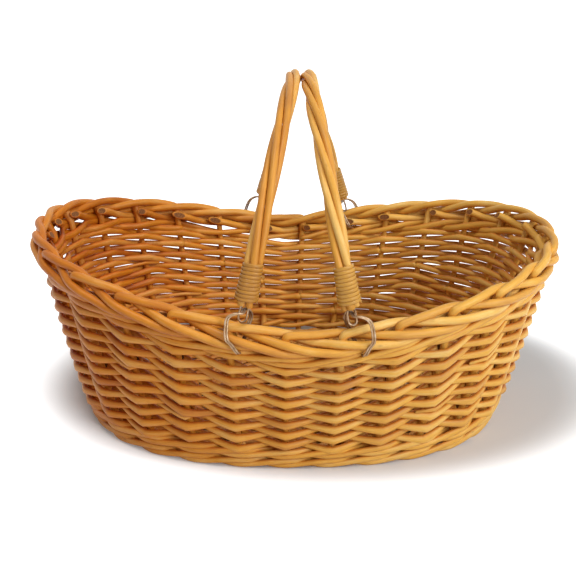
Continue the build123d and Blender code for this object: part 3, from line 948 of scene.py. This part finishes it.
def ring_piece(side, foot):
    """Two turns of wire round the border, which the eye of a handle hangs on."""
    rods = Rods()
    top = arch_point(side, math.pi * foot)
    stems = on_border(np.arange(UPRIGHTS), np.zeros(UPRIGHTS), np.zeros(UPRIGHTS))
    facing = [k for k in range(UPRIGHTS) if (stems[k, 1] > 0) == bool(foot)]
    k = min(facing, key=lambda j: abs(stems[j, 0] - top[0]))
    at, level, _ = wall_frame(k + RING_SHARES[(side, foot)], BORDER_HEIGHT)
    along = np.cross(UP, level)
    out_top, along_top, high = (top - at) @ level, (top - at) @ along, top[2] - at[2]
    low = BORDER_LOW - (2 * UPRIGHT_RADIUS + WIRE) / 2 - RUB
    reach = BORDER_DEPTH + (2 * UPRIGHT_RADIUS + WIRE) / 2 + RUB
    lean = float(lean_at(at[0]))

    def leaned(offset, height):
        return (
            offset * math.cos(lean) + height * math.sin(lean),
            height * math.cos(lean) - offset * math.sin(lean),
        )

    # Outward distance, height and distance to the side. The ring bends to the side and outward,
    # where the handle's rods swing past it.
    bow = side * (1 if foot == 0 else -1)
    turn = [
        (*leaned(-RING_FOOT_HALF, low), 3.0),
        (*leaned(-reach, 1.4), 1.0),
        (*leaned(-reach, 11.0), -1.5),
        (out_top - 6.5, high - 9.0, -4.5),
        (out_top - 4.2, high - 3.0, -3.5),
        (out_top - 1.8, high - 0.4, -1.0),
        (out_top + 2.6, high - 0.2, 0.0),
        (out_top + 9.2, high - 0.3, 0.4),
        (out_top + 13.0, high + 0.4, 5.2),
        (out_top + 13.4, high - 2.6, 10.8),
        (out_top + 12.9, high - 9.0, 12.8),
        (*leaned(reach + 1.5, 15.0), 12.0),
        (*leaned(reach + 0.4, 8.5), 8.6),
        (*leaned(reach, 1.4), 4.6),
        (*leaned(RING_FOOT_HALF, low), 3.4),
    ]
    half = (WIRE + 0.25) / 2
    route = []
    for lap in (-1, 1):
        for offset, height, aside in turn:
            slide = along_top * (height - low) / (high - low)
            aside = slide + lap * half + bow * aside
            route.append(at + level * offset + UP * height + along * aside)
    rods.lay(catmull(route, 8), WIRE / 2, 10)
    return rods


def eye_piece(side, foot):
    """Two wires side by side that come out of a handle and turn back under the ring."""
    rods = Rods()
    whole = ARCH_WALKED[side][-1]
    hinge = arch_point(side, math.pi * foot)

    def up_leg(length):
        return arch_frame(side, length if foot == 0 else whole - length)[0]

    leg = up_leg(ROD_END_LIFT) - hinge
    leg /= np.linalg.norm(leg)
    across = np.cross(leg, HINGE_DIR)
    across /= np.linalg.norm(across)
    half = WIRE + (WIRE + RING_GAP) / 2 + RUB
    narrowing, hang = 2.1, 10.5
    for lap in (-0.5, 0.5):
        aside = HINGE_DIR * lap * (WIRE + 0.1)
        route = [up_leg(ROD_END_LIFT + lift) + aside for lift in (22.0, 12.0)]
        for b, a in [
            (0, 4.4),
            (-half * 0.55, half),
            (-half, half / 2 - 1.5),
            (-half, narrowing - hang),
            (narrowing - half, -11.2 - lap),
            (half - narrowing, -11.2 - lap),
            (half, narrowing - hang),
            (half, half / 2 - 2.5),
            (half - WIRE * 0.7, half * 0.7),
        ]:
            route.append(hinge + across * b + leg * a + aside)
        rods.lay(catmull(route, 8), WIRE / 2, 10)
    return rods


BODIES = {-1: "left_handle", 1: "right_handle"}
CORNERS = {
    (-1, 0): "front_left",
    (1, 0): "front_right",
    (-1, 1): "back_left",
    (1, 1): "back_right",
}


def build_handles():
    for side, body in BODIES.items():
        name = body + "_rods"
        place_piece(handle_piece(side), "scene_" + name, body, name, "willow", honey)
    for (side, foot), corner in CORNERS.items():
        for make, part, body, slot, material in (
            (binding_piece, "binding", BODIES[side], "cane", cane),
            (ring_piece, "ring", "basket", "wire", wire),
            (eye_piece, "eye", BODIES[side], "wire", wire),
        ):
            name = f"{corner}_{part}"
            place_piece(make(side, foot), "scene_" + name, body, name, slot, material)


# ---- stage ----

PHOTO_WIDTH = 576
SENSOR_WIDTH = 36
CAMERA_DISTANCE, CAMERA_HEIGHT = 961.309, 454.778
CAMERA_PITCH, CAMERA_YAW, CAMERA_ROLL = 0.345, 0.0754694, 0.025847
CAMERA_FOCUS = 1073.006  # focal length in pixels of the photo
CAMERA_CENTRE = 295.118  # where the camera's axis meets the photo, in pixels from its left edge


def set_camera():
    forward = np.array([0, math.cos(CAMERA_PITCH), -math.sin(CAMERA_PITCH)])
    up = np.array([0, math.sin(CAMERA_PITCH), math.cos(CAMERA_PITCH)])
    right = np.array([1.0, 0, 0])
    turned_right = right * math.cos(CAMERA_ROLL) + up * math.sin(CAMERA_ROLL)
    turned_up = up * math.cos(CAMERA_ROLL) - right * math.sin(CAMERA_ROLL)
    c, s = math.cos(-CAMERA_YAW), math.sin(-CAMERA_YAW)
    turn = np.array([[c, -s, 0], [s, c, 0], [0, 0, 1]])
    axes = np.stack([turn @ turned_right, turn @ turned_up, -(turn @ forward)], 1)
    matrix = Matrix(axes.tolist()).to_4x4()
    matrix.translation = Vector(turn @ np.array([0, -CAMERA_DISTANCE, CAMERA_HEIGHT])) * MM
    data = bpy.data.cameras.new("camera")
    data.sensor_fit = "AUTO"
    data.sensor_width = SENSOR_WIDTH
    data.lens = CAMERA_FOCUS * SENSOR_WIDTH / PHOTO_WIDTH
    data.shift_x = (PHOTO_WIDTH / 2 - CAMERA_CENTRE) / PHOTO_WIDTH
    data.clip_start = 0.01
    camera = bpy.data.objects.new("camera", data)
    camera.matrix_world = matrix
    bpy.context.scene.collection.objects.link(camera)
    bpy.context.scene.camera = camera


def set_floor():
    """A pale floor that keeps the basket's soft shadow and goes white away from it."""
    data = bpy.data.meshes.new("floor")
    data.from_pydata([(-6, -6, 0), (6, -6, 0), (6, 6, 0), (-6, 6, 0)], [], [(0, 1, 2, 3)])
    floor = bpy.data.objects.new("floor", data)
    bpy.context.scene.collection.objects.link(floor)
    material = bpy.data.materials.new("floor_white")
    n = Nodes(material)
    diffuse = n.add("ShaderNodeBsdfDiffuse")
    diffuse.inputs["Color"].default_value = (0.77, 0.8, 0.83, 1)
    glow = n.add("ShaderNodeEmission")
    glow.inputs["Color"].default_value = (1, 1, 1, 1)
    where = n.add("ShaderNodeMapping", vector_type="POINT")
    n.link(n.object_point(), where.inputs["Vector"])
    where.inputs["Location"].default_value = (-0.045, -0.045, 0)
    where.inputs["Scale"].default_value = (1, 1.3, 1)
    away = n.add("ShaderNodeVectorMath", operation="LENGTH")
    n.link(where.outputs[0], away.inputs[0])
    n.link(n.smooth_share(away.outputs["Value"], 0.24, 0.335), glow.inputs["Strength"])
    both = n.add("ShaderNodeAddShader")
    n.link(diffuse.outputs[0], both.inputs[0])
    n.link(glow.outputs[0], both.inputs[1])
    n.seen_or_lit(diffuse, both)
    data.materials.append(material)


def set_light():
    """A warm soft world, white where it is seen, and three broad lamps."""
    world = bpy.data.worlds.new("studio")
    bpy.context.scene.world = world
    n = Nodes(world, "ShaderNodeOutputWorld")
    soft, white = n.add("ShaderNodeBackground"), n.add("ShaderNodeBackground")
    soft.inputs["Color"].default_value = (1, 0.935, 0.85, 1)
    soft.inputs["Strength"].default_value = 0.25
    white.inputs["Color"].default_value = (1, 1, 1, 1)
    white.inputs["Strength"].default_value = 1.0
    n.seen_or_lit(soft, white)

    aim = Vector((0, 0, 0.1))
    for name, at, size, power in (
        ("key", (1.5, -0.9, 1.3), 0.7, 15),
        ("front", (1.05, -1.7, 1.0), 0.9, 15.5),
        ("high", (-0.45, -0.5, 2.3), 0.7, 21),
    ):
        data = bpy.data.lights.new(name, "AREA")
        data.shape = "DISK"
        data.size = size
        data.energy = power
        lamp = bpy.data.objects.new(name, data)
        lamp.location = at
        lamp.rotation_euler = (aim - Vector(at)).to_track_quat("-Z", "Y").to_euler()
        bpy.context.scene.collection.objects.link(lamp)


build_base()
build_wall()
build_handles()
set_camera()
set_floor()
set_light()
bpy.context.scene.view_settings.view_transform = "Standard"
